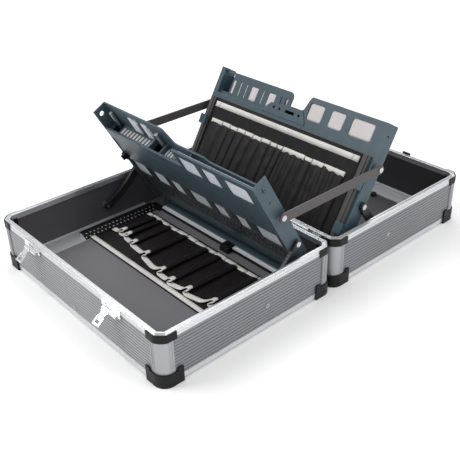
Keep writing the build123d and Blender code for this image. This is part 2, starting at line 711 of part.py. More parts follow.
def rear_pallet_tray():
    """Blue-grey moulded pan: upper strip with windows, a sunk panel with slits, a hand notch and a boss."""
    w, top, t = pallet_half_width, pallet_length, rear_thickness
    p = rear_plane
    with BuildPart() as tray:
        with BuildSketch(p.offset(-t + skin)):
            add(rear_outline())
        extrude(amount=t - skin)
        block((sunk_left, sunk_right), (203, top + 1), (-sunk_depth, 1), p, Mode.SUBTRACT)
        with BuildSketch(p.offset(-sunk_depth - skin)) as panel:
            with BuildLine():
                Polyline((sunk_left, 200), (sunk_right, 200), (sunk_right, top - 3.5), (sunk_left, top - 3.5),
                         close=True)
            make_face()
            right = panel.vertices().filter_by_position(Axis.X, sunk_right - 1, sunk_right + 1)
            fillet(right.sort_by(Axis.Y)[-1], 11)
        extrude(amount=skin)
        block((-w + skin, w - skin), (skin, 198), (-t, -skin), p, Mode.SUBTRACT)
        block((sunk_left + 26, -48), (201, rear_back_top - skin), (-t, -sunk_depth - skin), p, Mode.SUBTRACT)
        block((-48, -12), (201, top - 30 - skin), (-t, -sunk_depth - skin), p, Mode.SUBTRACT)
        block((-12, 40), (201, top - 30 - skin), (-t, -skin), p, Mode.SUBTRACT)
        block((40, w - skin), (201, top - skin), (-t, -skin), p, Mode.SUBTRACT)
        block((sunk_left, -181), (209, top - 8), (-26, 1), p, Mode.SUBTRACT)
        for span in rear_slits:
            block(span, rear_slit_y, (-sunk_depth - skin - 1, 1), p, Mode.SUBTRACT)
        for span in rear_small_windows:
            window(span, rear_slit_y, (-sunk_depth - skin - 1, 1), p, 3)
        for span in rear_windows:
            window(span, rear_window_y, (-skin - 1, 1), p, 5)
        with BuildSketch(p.offset(-sunk_depth)) as boss:
            with BuildLine():
                Polyline((-70, 200), (-52, 221), (-12, 225), (-8, top - 30), (29, top - 30), (44, 204),
                         (44, 200), close=True)
            make_face()
        extrude(boss.sketch, amount=sunk_depth + 2.2)
        for x, radius in ((-41, 2.8), (-26, 2.8), (25, 3.0)):
            with Locations(p.location * Location((x, 213.5, 0))):
                Cylinder(radius, 24, mode=Mode.SUBTRACT)
        block((-11, 13), (210.5, 216.5), (-sunk_depth - 1, 3), p, Mode.SUBTRACT)
        for span in both_sides((pallet_bracket_x - 6, pallet_bracket_x - 0.6)):
            block(span, (-6, 2), (-t / 2 - 6, -t / 2 + 6), p)
            rod(rear_pivot, 6.0, span)
        for span in both_sides((pallet_bracket_x - 6, pallet_bracket_x - 0.6)):
            rod(rear_pivot, pallet_pin_radius + running_clearance, span, Mode.SUBTRACT)
        with Locations(p.location * Location((w, top - 22, -13), (0, 90, 0))):
            Cylinder(2.4, 4 * skin, mode=Mode.SUBTRACT)
    return tray.part


def rear_pallet_back():
    """Flat back panel that closes the pan of the rear pallet."""
    with BuildPart() as back:
        with BuildSketch(rear_plane.offset(-rear_thickness)):
            add(rear_outline())
        extrude(amount=skin)
    return back.part


def rear_pallet_felts():
    """Pale felt that fills the windows and slits of the rear pallet."""
    p = rear_plane
    behind = -sunk_depth - skin
    with BuildPart() as felts:
        block((44.5, 198), (206, 250), (-skin - 3, -skin - 0.2), p)
        for span in rear_windows:
            window((span[0] + 1.2, span[1] - 0.2), (rear_window_y[0] + 0.2, rear_window_y[1] - 0.2),
                   (-skin - 0.2, -0.6), p, 4.8, Mode.ADD)
        block((-179.5, -49), (206, rear_back_top - skin - 1), (behind - 3, behind - 0.2), p)
        for span in rear_slits[:4]:
            block((span[0] + 0.1, span[1] - 0.1), (rear_slit_y[0] + 0.2, rear_slit_y[1] - 0.2),
                  (behind - 0.2, behind + skin - 0.3), p)
        for span in rear_small_windows:
            window((span[0] + 0.2, span[1] - 0.2), (rear_slit_y[0] + 0.2, rear_slit_y[1] - 0.2),
                   (behind - 0.2, behind + skin - 0.3), p, 2.8, Mode.ADD)
        block((-44.5, -18), (top_of_notch + 0.2, rear_slit_y[1] + 3), (behind - 1.4, behind - 0.1), p)
    return felts.part


page_half, page_low, page_high, page_thickness = 196.0, 8.0, 192.0, 4.0
pocket_low, pocket_high, pocket_depth = 34.0, 150.0, 8.0


def pocket_board():
    """Stiff board covered in black leatherette, clipped to the face of the rear pallet."""
    with BuildPart() as board:
        block((-page_half, page_half), (page_low, page_high), (0.2, page_thickness), rear_plane)
    return board.part


def pocket_sleeves():
    """The row of stitched sleeves on the pocket board, as one closed pad."""
    low = page_thickness
    with BuildPart() as sleeves:
        block((-page_half + 8, page_half - 12), (pocket_low, pocket_high), (low, low + pocket_depth), rear_plane)
    return sleeves.part


def pocket_trims():
    """Ivory strips at the top of the pocket board and below the sleeves."""
    low = page_thickness
    with BuildPart() as trims:
        block((-page_half, page_half), (176, 186), (low, low + 1), rear_plane)
        block((-page_half, page_half), (22, 32), (low, low + 1), rear_plane)
    return trims.part


def pocket_board_rails():
    """Dark rails that hold both sides of the pocket board."""
    with BuildPart() as rails:
        for span in both_sides((page_half + 0.3, page_half + 15)):
            block(span, (page_low, page_high), (0.1, 6), rear_plane)
            block((span[0] + 4.5, span[1] - 4.5), (page_low, page_high), (6, 8), rear_plane)
    return rails.part


def pocket_board_clips():
    """Teal clips that snap over the rails, two on each side."""
    with BuildPart() as clips:
        for low in (46, 130):
            for span in both_sides((page_half + 15.2, page_half + 20)):
                block(span, (low, low + 20), (0.1, 10), rear_plane)
            for span in both_sides((page_half + 3, page_half + 20)):
                block(span, (low, low + 20), (8.1, 11), rear_plane)
    return clips.part


# ---------------------------------------------------------------- arms and tie bars
def curved_arms(wall, top, bow):
    """A pair of bowed arms, drilled at the wall end, one beside each end of a pallet."""
    middle = ((wall[0] + top[0]) / 2 + bow[0], (wall[1] + top[1]) / 2 + bow[1])
    with BuildPart() as arms:
        for hand in (0, 1):
            span = both_sides(arm_layer)[hand]
            with BuildSketch(Plane.YZ.offset(span[0])):
                with BuildLine(mode=Mode.PRIVATE) as spine:
                    ThreePointArc(wall, middle, top)
                SlotArc(arc=spine.wires()[0], height=arm_width)
            extrude(amount=span[1] - span[0])
        rod(wall, rivet_radius + running_clearance, (-case_length, case_length), Mode.SUBTRACT)
        rod(top, rivet_radius, (-case_length, case_length), Mode.SUBTRACT)
    return arms.part


def studs(centre, layer):
    """Rivets in the free ends of a pair of arms or bars, with their shanks ending short of the pallet."""
    with BuildPart() as rivets:
        for hand in (0, 1):
            rod(centre, rivet_radius, both_sides(layer)[hand])
            rod(centre, 5.0, both_sides((layer[1], layer[1] + 0.6))[hand])
    return rivets.part


def tie_bars():
    """Two flat bars with round ends that tie the pallets together."""
    reach = (bar_rear_end[0] - bar_front_end[0], bar_rear_end[1] - bar_front_end[1])
    middle = ((bar_rear_end[0] + bar_front_end[0]) / 2, (bar_rear_end[1] + bar_front_end[1]) / 2)
    with BuildPart() as bars:
        for hand in (0, 1):
            span = both_sides(bar_layer)[hand]
            with BuildSketch(Plane.YZ.offset(span[0])):
                with Locations(middle):
                    SlotCenterToCenter(hypot(*reach), bar_width, rotation=degrees(atan2(reach[1], reach[0])))
            extrude(amount=span[1] - span[0])
        rod(bar_rear_end, rivet_radius + running_clearance, (-case_length, case_length), Mode.SUBTRACT)
        rod(bar_front_end, rivet_radius, (-case_length, case_length), Mode.SUBTRACT)
    return bars.part


def tie_bar_pivots():
    """Rivets on the sides of the rear pallet that the tie bars turn on."""
    with BuildPart() as rivets:
        for hand in (0, 1):
            rod(bar_rear_end, rivet_radius, both_sides((pallet_half_width, bar_layer[1] + 0.4))[hand])
            rod(bar_rear_end, 5.0, both_sides((bar_layer[1] + 0.4, bar_layer[1] + 1.6))[hand])
            rod(bar_rear_end, 5.0, both_sides((pallet_half_width, bar_layer[0] - 0.4))[hand])
    return rivets.part


# ---------------------------------------------------------------- assembly
for side, shell, arm_wall, pivot in ((front, "front", front_arm_wall, front_pivot),
                                     (rear, "rear", rear_arm_wall, rear_pivot)):
    save(band(side, (floor_low, floor_top), frame_thickness, None), f"{shell}_floor_panel")
    save(long_walls(side), f"{shell}_long_walls")
    save(side_walls(side, arm_wall), f"{shell}_side_walls")
    save(base_frame(side), f"{shell}_base_frame")
    save(rim_frame(side), f"{shell}_rim_frame")
    save(corner_posts(side), f"{shell}_corner_posts")
    save(corner_caps(side), f"{shell}_corner_caps")
    save(liner(side, arm_wall), f"{shell}_liner")
    save(floor_strips(side), f"{shell}_floor_strips")
    save(shell_pivots(side, arm_wall, pivot), f"{shell}_pivots")
    save(hinge_leaves(side), f"{shell}_hinge_leaves")

save(hinge_pins(), "hinge_pins")
save(latch_bases(), "latch_bases")
save(latch_lever(latch_places[0]), "left_latch_lever")
save(latch_lever(latch_places[1]), "right_latch_lever")
save(latch_catches(), "latch_catches")
save(handle_brackets(), "handle_brackets")
save(handle_grip(), "handle_grip")

save(tool_board(), "tool_board")
save(tool_board_sleeves(), "tool_board_sleeves")
save(tool_board_trims(), "tool_board_trims")
save(perforated_rails(), "perforated_rails")
save(rail_cores(), "rail_cores")
save(floor_bar(), "floor_bar")
save(floor_bar_base(), "floor_bar_base")
save(pallet_foot_rail(), "pallet_foot_rail")
save(floor_bumpers(), "floor_bumpers")

save(front_pallet_tray(), "front_pallet_tray")
save(front_pallet_face(), "front_pallet_face")
save(front_pallet_felts(), "front_pallet_felts")
save(front_pallet_mesh(), "front_pallet_mesh")
save(front_pallet_rods(), "front_pallet_rods")
save(front_pallet_knobs(), "front_pallet_knobs")
save(rear_pallet_tray(), "rear_pallet_tray")
save(rear_pallet_back(), "rear_pallet_back")
save(rear_pallet_felts(), "rear_pallet_felts")
save(pocket_board(), "pocket_board")
save(pocket_sleeves(), "pocket_sleeves")
save(pocket_trims(), "pocket_trims")
save(pocket_board_rails(), "pocket_board_rails")
save(pocket_board_clips(), "pocket_board_clips")

save(curved_arms(front_arm_wall, front_arm_top, (5.0, -6.0)), "front_arms")
save(curved_arms(rear_arm_wall, rear_arm_top, (-3.0, -2.4)), "rear_arms")
save(studs(front_arm_top, arm_layer), "front_arm_studs")
save(studs(rear_arm_top, arm_layer), "rear_arm_studs")
save(tie_bars(), "tie_bars")
save(studs(bar_front_end, bar_layer), "tie_bar_studs")
save(tie_bar_pivots(), "tie_bar_pivots")

print("front pallet pivot", front_pivot, "rear pallet pivot", rear_pivot)
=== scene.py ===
import math

import bpy
import bmesh
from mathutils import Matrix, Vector, noise


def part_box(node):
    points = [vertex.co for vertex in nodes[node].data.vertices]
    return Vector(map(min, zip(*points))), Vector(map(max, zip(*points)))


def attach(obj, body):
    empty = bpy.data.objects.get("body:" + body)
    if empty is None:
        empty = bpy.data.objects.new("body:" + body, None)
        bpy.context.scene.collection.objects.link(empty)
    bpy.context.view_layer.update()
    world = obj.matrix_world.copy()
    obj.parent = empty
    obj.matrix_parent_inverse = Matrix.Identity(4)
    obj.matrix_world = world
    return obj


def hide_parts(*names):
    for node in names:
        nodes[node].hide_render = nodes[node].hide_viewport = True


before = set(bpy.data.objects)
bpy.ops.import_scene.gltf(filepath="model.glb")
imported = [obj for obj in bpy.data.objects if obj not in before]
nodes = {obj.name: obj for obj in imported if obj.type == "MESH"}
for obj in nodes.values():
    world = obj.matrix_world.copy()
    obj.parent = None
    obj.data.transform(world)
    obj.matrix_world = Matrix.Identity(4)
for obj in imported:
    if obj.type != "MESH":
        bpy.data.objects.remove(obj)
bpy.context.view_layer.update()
scene = bpy.context.scene
MM = 0.001


# ---------------------------------------------------------------- camera, floor and light
def camera():
    """The photograph's viewing angle: from the front right, above, and tilted a little."""
    azimuth, elevation, roll = (math.radians(a) for a in (49.19, 30.99, -1.68))
    target, distance = Vector((0.02592, -0.04647, 0.050)), 1.37847
    back = Vector((math.sin(azimuth) * math.cos(elevation), -math.cos(azimuth) * math.cos(elevation),
                   math.sin(elevation)))
    level = Vector((0, 0, 1)).cross(back).normalized()
    above = back.cross(level)
    right = level * math.cos(roll) + above * math.sin(roll)
    up = above * math.cos(roll) - level * math.sin(roll)
    eye = bpy.data.objects.new("camera", bpy.data.cameras.new("camera"))
    eye.data.lens, eye.data.sensor_width = 57.5, 36.0
    scene.collection.objects.link(eye)
    for row in range(3):
        for column, axis in enumerate((right, up, back)):
            eye.matrix_world[row][column] = axis[row]
    eye.matrix_world.translation = target + back * distance
    scene.camera = eye


def light(name, place, aim, size, power):
    lamp = bpy.data.objects.new(name, bpy.data.lights.new(name, "AREA"))
    lamp.data.shape, lamp.data.size, lamp.data.energy = "SQUARE", size, power
    lamp.location = place
    lamp.rotation_euler = (Vector(aim) - Vector(place)).to_track_quat("-Z", "Y").to_euler()
    scene.collection.objects.link(lamp)


def studio():
    """Soft light from all round that fades towards the ground, and three large lamps."""
    world = bpy.data.worlds.new("studio")
    scene.world = world
    world.use_nodes = True
    tree = world.node_tree
    place = tree.nodes.new("ShaderNodeTexCoord")
    split = tree.nodes.new("ShaderNodeSeparateXYZ")
    fade = tree.nodes.new("ShaderNodeMapRange")
    fade.inputs["From Min"].default_value, fade.inputs["From Max"].default_value = 0.0, 1.0
    fade.inputs["To Min"].default_value, fade.inputs["To Max"].default_value = 0.35, 1.05
    tree.links.new(place.outputs["Generated"], split.inputs["Vector"])
    tree.links.new(split.outputs["Z"], fade.inputs["Value"])
    tree.links.new(fade.outputs["Result"], tree.nodes["Background"].inputs["Strength"])
    tree.nodes["Background"].inputs["Color"].default_value = (1.0, 1.0, 1.0, 1)
    light("key", (-1.1, -1.5, 1.9), (0, -0.1, 0.05), 1.3, 27)
    light("far", (-1.5, 1.35, 1.25), (0, 0.0, 0.1), 1.3, 12)
    light("side", (1.7, 0.5, 1.1), (0.25, 0.0, 0.0), 1.5, 12)
    scene.view_settings.view_transform = "Standard"


def paper_floor():
    mesh = bpy.data.meshes.new("floor")
    half = 6.0
    corners = [(-half, -half, 0), (half, -half, 0), (half, half, 0), (-half, half, 0)]
    mesh.from_pydata(corners, [], [(0, 1, 2, 3)])
    floor = bpy.data.objects.new("floor", mesh)
    scene.collection.objects.link(floor)
    floor.data.materials.append(plain("floor_paper", (0.97, 0.97, 0.97), 0.9))


# ---------------------------------------------------------------- materials
def plain(name, color, rough):
    m = bpy.data.materials.new(name)
    m.use_nodes = True
    shader = m.node_tree.nodes["Principled BSDF"]
    shader.inputs["Base Color"].default_value = (*color, 1)
    shader.inputs["Roughness"].default_value = rough
    return m


class Finish:
    """A procedural material built up from a Principled shader and a chain of bumps."""

    def __init__(self, name, rough=0.5, metal=0.0, sheen=0.0, specular=0.5, soften=0.0):
        self.material = plain(name, (0.5, 0.5, 0.5), rough)
        self.tree = self.material.node_tree
        self.shader = self.tree.nodes["Principled BSDF"]
        self.shader.inputs["Metallic"].default_value = metal
        self.shader.inputs["Sheen Weight"].default_value = sheen
        self.shader.inputs["Specular IOR Level"].default_value = specular
        self.place = self.add("ShaderNodeTexCoord").outputs["Object"]
        self.normal = None
        if soften:
            edge = self.add("ShaderNodeBevel", samples=4)
            edge.inputs["Radius"].default_value = soften
            self.normal = edge.outputs["Normal"]

    def add(self, kind, **settings):
        node = self.tree.nodes.new(kind)
        for key, value in settings.items():
            setattr(node, key, value)
        return node

    def link(self, source, target):
        self.tree.links.new(source, target)

    def mapped(self, stretch=(1, 1, 1)):
        node = self.add("ShaderNodeMapping")
        node.inputs["Scale"].default_value = stretch
        self.link(self.place, node.inputs["Vector"])
        return node.outputs["Vector"]

    def noise(self, scale, stretch=(1, 1, 1), detail=3.0):
        node = self.add("ShaderNodeTexNoise")
        node.inputs["Scale"].default_value = scale
        node.inputs["Detail"].default_value = detail
        self.link(self.mapped(stretch), node.inputs["Vector"])
        return node.outputs["Fac"]

    def wave(self, pitch, axis, distortion=0.0):
        """Parallel ridges; a wave texture of scale 1 repeats every 0.314 m."""
        node = self.add("ShaderNodeTexWave", bands_direction=axis)
        node.inputs["Scale"].default_value = 0.314 / pitch
        node.inputs["Distortion"].default_value = distortion
        self.link(self.mapped(), node.inputs["Vector"])
        return node.outputs["Fac"]

    def pebble(self, scale):
        node = self.add("ShaderNodeTexVoronoi")
        node.inputs["Scale"].default_value = scale
        self.link(self.place, node.inputs["Vector"])
        return node.outputs["Distance"]

    def span(self, source, low, high):
        node = self.add("ShaderNodeMapRange")
        node.inputs["From Min"].default_value, node.inputs["From Max"].default_value = 0.25, 0.75
        node.inputs["To Min"].default_value, node.inputs["To Max"].default_value = low, high
        self.link(source, node.inputs["Value"])
        return node.outputs["Result"]

    def mix(self, factor, first, second):
        node = self.add("ShaderNodeMix", data_type="RGBA")
        for socket, value in ((0, factor), (6, first), (7, second)):
            if isinstance(value, bpy.types.NodeSocket):
                self.link(value, node.inputs[socket])
            elif socket == 0:
                node.inputs[0].default_value = value
            else:
                node.inputs[socket].default_value = (*value, 1)
        return node.outputs[2]

    def color(self, source):
        if isinstance(source, bpy.types.NodeSocket):
            self.link(source, self.shader.inputs["Base Color"])
        else:
            self.shader.inputs["Base Color"].default_value = (*source, 1)

    def mottle(self, color, amount, scale, stretch=(1, 1, 1)):
        """A colour that varies by amount of itself, with patches of the given scale."""
        dark = [c * (1 - amount) for c in color]
        bright = [min(1, c * (1 + amount)) for c in color]
        return self.mix(self.span(self.noise(scale, stretch), 0, 1), dark, bright)

    def rough(self, low, high, scale, stretch=(1, 1, 1)):
        self.link(self.span(self.noise(scale, stretch), low, high), self.shader.inputs["Roughness"])

    def bump(self, source, strength, depth):
        node = self.add("ShaderNodeBump")
        node.inputs["Strength"].default_value = strength
        node.inputs["Distance"].default_value = depth
        self.link(source, node.inputs["Height"])
        if self.normal is not None:
            self.link(self.normal, node.inputs["Normal"])
        self.normal = node.outputs["Normal"]
        return self

    def done(self):
        if self.normal is not None:
            self.link(self.normal, self.shader.inputs["Normal"])
        return self.material

    def wear_and_highlight_edges(self, color, edge, reach=0.0009):
        """color, turning to edge close to the edges of the shape; this lighter edge is partly wear and partly
        a painted highlight.
        """
        soft = self.add("ShaderNodeBevel", samples=4)
        soft.inputs["Radius"].default_value = reach
        true = self.add("ShaderNodeNewGeometry")
        same = self.add("ShaderNodeVectorMath", operation="DOT_PRODUCT")
        self.link(soft.outputs["Normal"], same.inputs[0])
        self.link(true.outputs["Normal"], same.inputs[1])
        ramp = self.add("ShaderNodeMapRange")
        ramp.inputs["From Min"].default_value, ramp.inputs["From Max"].default_value = 0.995, 0.90
        self.link(same.outputs["Value"], ramp.inputs["Value"])
        return self.mix(ramp.outputs["Result"], color, edge)


def moulded(name, color, rough, grain=900, soften=0.0006, edge=None, patch=14, specular=0.4):
    """Moulded plastic or painted metal with a fine grain, lighter at its edges where edge says so; the
    lighter edge is partly wear and partly a painted highlight.
    """
    f = Finish(name, rough=rough, soften=soften, specular=specular)
    base = f.mottle(color, 0.10, patch)
    f.color(f.wear_and_highlight_edges(base, edge) if edge else base)
    f.rough(rough - 0.06, rough + 0.08, 60)
    f.bump(f.noise(grain, detail=2), 0.35, 0.00012)
    return f.done()


def ribbed(name, color, ridge):
    """Black moulding with fine cross ribs, their crests and the edges painted in the lighter ridge colour as
    a painted highlight.
    """
    f = Finish(name, rough=0.36, soften=0.0006, specular=0.35)
    ribs = f.wave(0.0042, "Z")
    f.color(f.wear_and_highlight_edges(f.mix(f.span(ribs, 0, 0.6), f.mottle(color, 0.1, 20), ridge), ridge))
    f.bump(ribs, 0.6, 0.0005)
    return f.done()


def mesh_finish(name, hollow, ridge):
    """Pressed mesh: small cells with raised edges."""
    f = Finish(name, rough=0.45, specular=0.4)
    cells = f.pebble(230)
    f.color(f.mix(f.span(cells, 1.0, 0.0), hollow, ridge))
    f.bump(cells, 0.8, 0.0012)
    return f.done()


def metal(name, color, rough, stretch=(1, 1, 1), soften=0.0005, lines=0.25, metallic=0.9):
    """Metal with faint lines drawn out along the axis that stretch makes smallest."""
    f = Finish(name, rough=rough, metal=metallic, soften=soften)
    f.color(f.mottle(color, 0.05, 30, stretch))
    f.rough(rough - 0.05, rough + 0.07, 90, stretch)
    f.bump(f.noise(700, stretch, 2), lines, 0.00005)
    return f.done()


def cloth(name, color, pitch, depth, rough=0.85, sheen=0.3):
    """Woven webbing: ribs one way and finer threads across them."""
    f = Finish(name, rough=rough, sheen=sheen, specular=0.25)
    ribs = f.wave(pitch, "X", 0.6)
    threads = f.wave(pitch * 0.6, "Y", 0.6)
    weave = f.mix(0.5, ribs, threads)
    dark = [c * 0.72 for c in color]
    f.color(f.mix(weave, f.mottle(dark, 0.12, 25), f.mottle(color, 0.12, 25)))
    f.bump(weave, 0.5, depth)
    f.bump(f.noise(60), 0.15, 0.0006)
    return f.done()


def leather(name, color, rough):
    """Leatherette: a small pebbled grain."""
    f = Finish(name, rough=rough, soften=0.0008, specular=0.25)
    f.color(f.mottle(color, 0.18, 18))
    f.rough(rough - 0.06, rough + 0.1, 70)
    f.bump(f.pebble(620), 0.35, 0.00018)
    f.bump(f.noise(45), 0.12, 0.0006)
    return f.done()


def felt_finish(name, color):
    f = Finish(name, rough=0.95, sheen=0.5, specular=0.15)
    fibres = f.span(f.noise(900, detail=5), 0, 1)
    f.color(f.mix(fibres, [c * 0.86 for c in color], [min(1, c * 1.06) for c in color]))
    f.bump(f.noise(500, detail=6), 0.6, 0.0005)
    return f.done()


def wall_panel(name, color):
    """Satin sheet with lines finer than the ribs of the walls."""
    f = Finish(name, rough=0.4, metal=0.25, specular=0.5)
    f.color(f.mottle(color, 0.06, 6))
    f.rough(0.36, 0.48, 40, (1, 1, 8))
    f.bump(f.wave(0.0012, "Z"), 0.25, 0.0001)
    f.bump(f.noise(900, detail=2), 0.1, 0.00005)
    return f.done()


def board_floor(name, color):
    """Speckled board, as on the floors and the inside of the walls."""
    f = Finish(name, rough=0.6, specular=0.35)
    specks = f.span(f.noise(1400, detail=4), 0, 1)
    f.color(f.mix(specks, [c * 0.9 for c in color], [c * 1.12 for c in color]))
    f.bump(f.noise(900, detail=3), 0.3, 0.0001)
    return f.done()


alu = metal("frame_aluminium", (0.72, 0.73, 0.75), 0.30, (1, 1, 12))
post = metal("post_aluminium", (0.40, 0.405, 0.42), 0.38, (1, 1, 0.05), metallic=0.7)
strip_alu = metal("strip_aluminium", (0.62, 0.64, 0.67), 0.42, (0.1, 0.1, 1), metallic=0.45)
plated = metal("plated_steel", (0.55, 0.56, 0.58), 0.32)
chrome = metal("chrome", (0.90, 0.91, 0.92), 0.14, soften=0.0004, lines=0.05, metallic=1.0)
black_metal = moulded("black_metal", (0.012, 0.012, 0.013), 0.38, soften=0.0005, specular=0.3)
# The edge colours of the caps and trays are lighter than their bodies: partly wear, partly a painted
# highlight along the edges.
cap_black = moulded("cap_black", (0.008, 0.008, 0.009), 0.42, grain=700, edge=(0.022, 0.022, 0.024),
                    specular=0.2)
tray_edge = (0.11, 0.165, 0.195)
tray_blue = moulded("tray_blue", (0.052, 0.082, 0.102), 0.42, edge=tray_edge)
tray_rear = moulded("tray_rear_blue", (0.042, 0.075, 0.097), 0.40, edge=tray_edge)
# The ridge colour of the arms is a painted highlight on the rib crests and edges.
arm_black = ribbed("arm_black", (0.010, 0.010, 0.011), (0.045, 0.045, 0.048))
bar_grey = moulded("bar_grey", (0.075, 0.068, 0.072), 0.5, grain=300, patch=60)
mesh_black = mesh_finish("mesh_black", (0.014, 0.016, 0.018), (0.075, 0.085, 0.092))
rubber = moulded("rubber", (0.014, 0.014, 0.015), 0.6)
# The end walls are the same sheet as the long walls, made darker and bluer as painted shade, since the light
# falls mainly on the long walls.
long_panel = wall_panel("long_panel_grey", (0.34, 0.343, 0.355))
side_panel = wall_panel("side_panel_painted_shade", (0.235, 0.24, 0.262))
# The rear shell's lining and floor are the same boards as the front shell's, made much darker as painted
# shade inside the rear shell.
linings = {"front": board_floor("lining_front", (0.085, 0.080, 0.090)),
           "rear": board_floor("lining_rear_painted_shade", (0.028, 0.027, 0.029))}
floors = {"front": board_floor("floor_front", (0.155, 0.155, 0.168)),
          "rear": board_floor("floor_rear_painted_shade", (0.060, 0.057, 0.064))}
satin_alu = metal("satin_aluminium", (0.80, 0.81, 0.83), 0.5, (0.1, 1, 1), metallic=0.35)
board_black = leather("board_black", (0.007, 0.006, 0.007), 0.62)
sleeve_black = cloth("sleeve_black", (0.009, 0.007, 0.008), 0.0011, 0.00012, rough=0.5, sheen=0.02)
ivory = cloth("ivory_binding", (0.76, 0.74, 0.70), 0.0011, 0.00018)
grey_felt = felt_finish("grey_felt", (0.60, 0.63, 0.70))
pale_felt = felt_finish("pale_felt", (0.66, 0.62, 0.62))
rail_grey = moulded("rail_grey", (0.06, 0.056, 0.056), 0.5, grain=300)

nodes_of = {
    plated: ("hinge_pins", "front_pallet_rods", "front_arm_studs", "rear_arm_studs", "tie_bar_studs",
             "tie_bar_pivots"),
    chrome: ("latch_bases", "left_latch_lever", "right_latch_lever"),
    black_metal: ("latch_catches", "front_pallet_knobs"),
    cap_black: ("handle_brackets", "handle_grip", "perforated_rails", "floor_bar_base"),
    satin_alu: ("rail_cores", "floor_bar"),
    tray_blue: ("pallet_foot_rail", "front_pallet_face", "front_pallet_tray"),
    tray_rear: ("rear_pallet_tray", "rear_pallet_back", "pocket_board_clips"),
    arm_black: ("front_arms", "rear_arms"),
    bar_grey: ("tie_bars",),
    rail_grey: ("pocket_board_rails",),
    mesh_black: ("front_pallet_mesh",),
    rubber: ("floor_bumpers",),
}
by_node = {name: finish for finish, names in nodes_of.items() for name in names}
for shell in ("front", "rear"):
    in_shell = {
        "floor_panel": floors[shell], "liner": linings[shell], "long_walls": long_panel,
        "side_walls": side_panel, "base_frame": alu, "rim_frame": alu, "corner_posts": post,
        "corner_caps": cap_black, "floor_strips": strip_alu, "pivots": plated, "hinge_leaves": plated,
    }
    by_node.update({shell + "_" + name: finish for name, finish in in_shell.items()})
for name, finish in by_node.items():
    for material_slot in nodes[name].material_slots:
        material_slot.material = finish


# ---------------------------------------------------------------- frames of the two pallets
class Face:
    """A plane through origin with X along the case, leaning back by lean radians; places in metres."""

    def __init__(self, origin, lean):
        self.origin = Vector(origin)
        self.up = Vector((0, math.sin(lean), math.cos(lean)))
        self.out = Vector((0, -math.cos(lean), math.sin(lean)))

    def point(self, x, up, out):
        """The point at x along the plane, up its slope and out from its face."""
        return self.origin + Vector((x, 0, 0)) + self.up * up + self.out * out


ground = Face((0, 0, 0), math.radians(90))
front_face = Face((0, -0.0408, 0.026), math.radians(-29))
rear_face = Face((0, 0.0252, 0.0416), math.radians(31))


# ---------------------------------------------------------------- mesh helpers
def new_piece(name, mesh, finish, body):
    piece = bpy.data.objects.new(name, mesh)
    scene.collection.objects.link(piece)
    mesh.materials.append(finish)
    mesh.shade_smooth()
    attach(piece, body)
    return piece


def bake(piece):
    """Applies a piece's modifiers to its mesh."""
    bpy.context.view_layer.update()
    graph = bpy.context.evaluated_depsgraph_get()
    mesh = bpy.data.meshes.new_from_object(piece.evaluated_get(graph))
    piece.modifiers.clear()
    piece.data = mesh
    return piece


def grid(name, rows, finish, body, thick=0.0, offset=-1.0):
    """A sheet through rows of points, given its thickness on one side."""
    wide = len(rows[0])
    verts = [tuple(p) for row in rows for p in row]
    faces = [(r * wide + c, r * wide + c + 1, (r + 1) * wide + c + 1, (r + 1) * wide + c)
             for r in range(len(rows) - 1) for c in range(wide - 1)]
    mesh = bpy.data.meshes.new(name)
    mesh.from_pydata(verts, [], faces)
    mesh.validate()
    piece = new_piece(name, mesh, finish, body)
    if thick:
        solid = piece.modifiers.new("thickness", "SOLIDIFY")
        solid.thickness, solid.offset = thick, offset
        bake(piece)
    return piece


def wander(p, scale, seed):
    """A small wandering value between -1 and 1, smooth from point to point."""
    return noise.noise(Vector(p) * scale + Vector((seed, 0.37 * seed, -seed)))


def slab(name, face, x, up, out, finish, body, radius=0.0015, swell=0.0, rough=0.0, seed=1.0, step=0.006,
         corner=0.0):
    """A closed board or pad over the spans x and up of a face, from out[0] to out[1] off it.

    radius rounds its edges and corner its corners. Its outer face swells and wanders a little.
    """
    columns = max(2, int((x[1] - x[0]) / step))
    lines = max(2, int((up[1] - up[0]) / step))
    rows = []
    for j in range(-2, lines + 3):
        row = []
        v = min(max(j / lines, 0), 1)
        for i in range(-2, columns + 3):
            u = min(max(i / columns, 0), 1)
            a, b = x[0] + (x[1] - x[0]) * u, up[0] + (up[1] - up[0]) * v
            near = min(a - x[0], x[1] - a, b - up[0], up[1] - b)
            fall = 0.0
            if near < radius:
                fall = radius - math.sqrt(max(0.0, radius ** 2 - max(0.0, radius - near) ** 2))
            centre = (min(max(a, x[0] + corner), x[1] - corner), min(max(b, up[0] + corner), up[1] - corner))
            reach = math.hypot(a - centre[0], b - centre[1])
            if reach > corner > 0:
                a, b = (m + (c - m) * corner / reach for m, c in zip(centre, (a, b)))
            dome = swell * min(1, 4 * u * (1 - u)) ** 0.5 * min(1, 4 * v * (1 - v)) ** 0.5
            lift = out[1] - fall * 0.8 + dome + rough * wander((a, b, 0), 28, seed)
            skirt = max(-i, i - columns, -j, j - lines, 0)
            if skirt:
                lift = out[1] - radius if skirt == 1 else out[0]
            row.append(face.point(a, b, lift))
        rows.append(row)
    piece = grid(name, rows, finish, body)
    bm = bmesh.new()
    bm.from_mesh(piece.data)
    bmesh.ops.remove_doubles(bm, verts=bm.verts, dist=1e-6)
    border = [e for e in bm.edges if e.is_boundary]
    bmesh.ops.contextual_create(bm, geom=border)
    bmesh.ops.recalc_face_normals(bm, faces=bm.faces)
    bm.to_mesh(piece.data)
    bm.free()
    return piece


def curve_through(points, per):
    """Points on a smooth line through the given points, per of them for each stretch."""
    out = []
    for i in range(len(points) - 1):
        near = [points[min(max(k, 0), len(points) - 1)] for k in (i - 1, i, i + 1, i + 2)]
        for s in range(per):
            t = s / per
            out.append(tuple(
                0.5 * (2 * b + (c - a) * t + (2 * a - 5 * b + 4 * c - d) * t * t
                       + (3 * b - a - 3 * c + d) * t ** 3)
                for a, b, c, d in zip(*near)))
    out.append(tuple(points[-1]))
    return out


